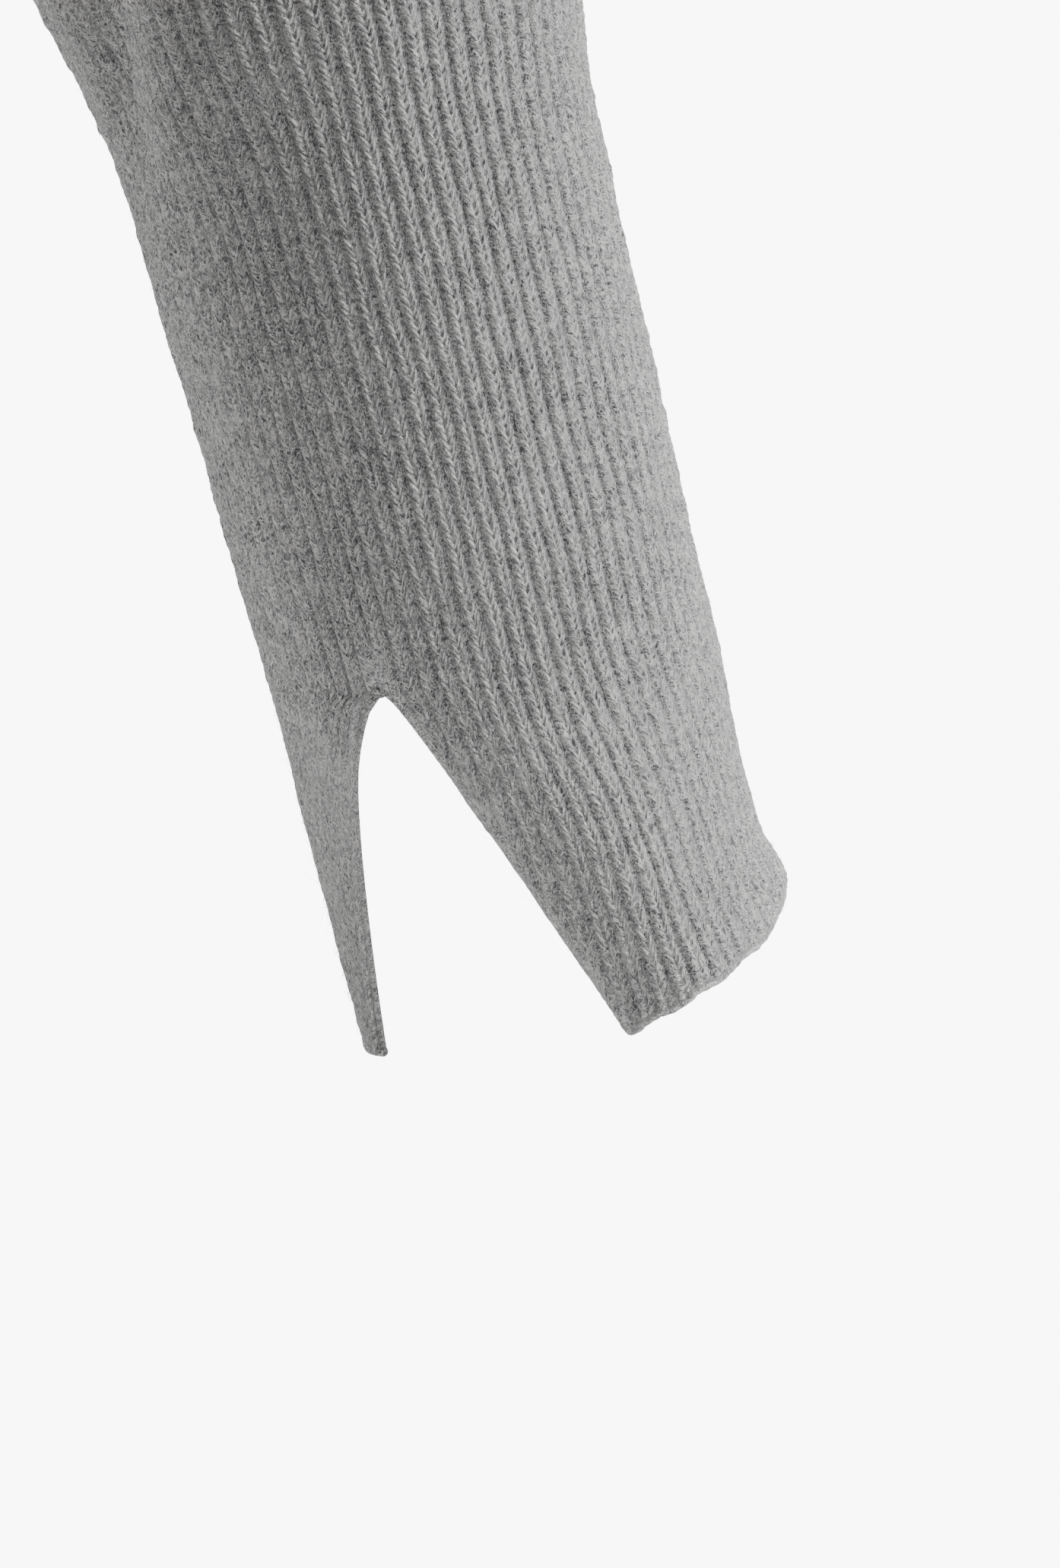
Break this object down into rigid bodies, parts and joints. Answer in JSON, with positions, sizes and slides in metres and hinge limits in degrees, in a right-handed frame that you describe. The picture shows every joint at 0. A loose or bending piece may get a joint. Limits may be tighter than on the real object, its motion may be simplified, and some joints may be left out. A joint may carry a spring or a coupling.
{
  "type": "fingerless knitted glove",
  "caption": "Long fingerless knitted glove: a ribbed forearm sleeve that divides into an open hand part and a narrow open thumb stall, with rolled hems and an elastic welt.",
  "frame": {"origin": "centre of the arm opening, at the top of the welt", "axes": "+Z along the sleeve towards the arm opening, +X to the back of the hand (the thumb and palm are towards -X), +Y towards the little finger's edge"},
  "size_m": [0.095, 0.095, 0.2642],
  "materials": {
    "knit_wool": "heather grey wool-blend yarn in a fine rib, matt and slightly fuzzy",
    "elastic_thread": "covered elastic thread, pale, matt",
    "sewing_thread": "grey linking and sewing thread, slight sheen",
    "label_ribbon": "off-white woven ribbon, blank, slight satin sheen"
  },
  "bodies": {
    "arm": {"arm_welt": "knit_wool", "welt_elastic": "elastic_thread", "welt_linking": "sewing_thread", "forearm_tube": "knit_wool", "arm_seam": "knit_wool", "care_label": "label_ribbon", "label_stitches": "sewing_thread"},
    "wrist": {"wrist_flex_fabric": "knit_wool", "wrist_band": "knit_wool", "wrist_tilt_fabric": "knit_wool", "wrist_seam": "knit_wool"},
    "hand": {"palm_tube": "knit_wool", "hand_tube": "knit_wool", "hand_hem": "knit_wool", "hand_seam": "knit_wool", "crotch_tack": "knit_wool"},
    "thumb_root": {"thumb_gusset": "knit_wool", "thumb_band": "knit_wool", "thumb_knuckle": "knit_wool"},
    "thumb_end": {"thumb_stall": "knit_wool", "thumb_hem": "knit_wool"}
  },
  "joints": [
    {"name": "wrist_flex", "type": "hinge", "parent": "arm", "child": "wrist", "pos_m": [0, 0, -0.134], "axis": [0, 1, 0], "range_deg": [-35, 40], "stiffness_Nm_per_rad": 0.04, "deforming": ["wrist_flex_fabric", "wrist_seam"]},
    {"name": "wrist_tilt", "type": "hinge", "parent": "wrist", "child": "hand", "pos_m": [0, 0, -0.168], "axis": [1, 0, 0], "range_deg": [-20, 25], "stiffness_Nm_per_rad": 0.04, "deforming": ["wrist_tilt_fabric"]},
    {"name": "thumb_swing", "type": "hinge", "parent": "hand", "child": "thumb_root", "pos_m": [-0.028, 0, -0.207], "axis": [0, 1, 0], "range_deg": [-25, 20], "stiffness_Nm_per_rad": 0.008, "deforming": ["thumb_gusset"]},
    {"name": "thumb_bend", "type": "hinge", "parent": "thumb_root", "child": "thumb_end", "pos_m": [-0.0335, 0, -0.23], "axis": [1, 0, 0], "range_deg": [-10, 30], "stiffness_Nm_per_rad": 0.006, "deforming": ["thumb_knuckle"]}
  ]
}
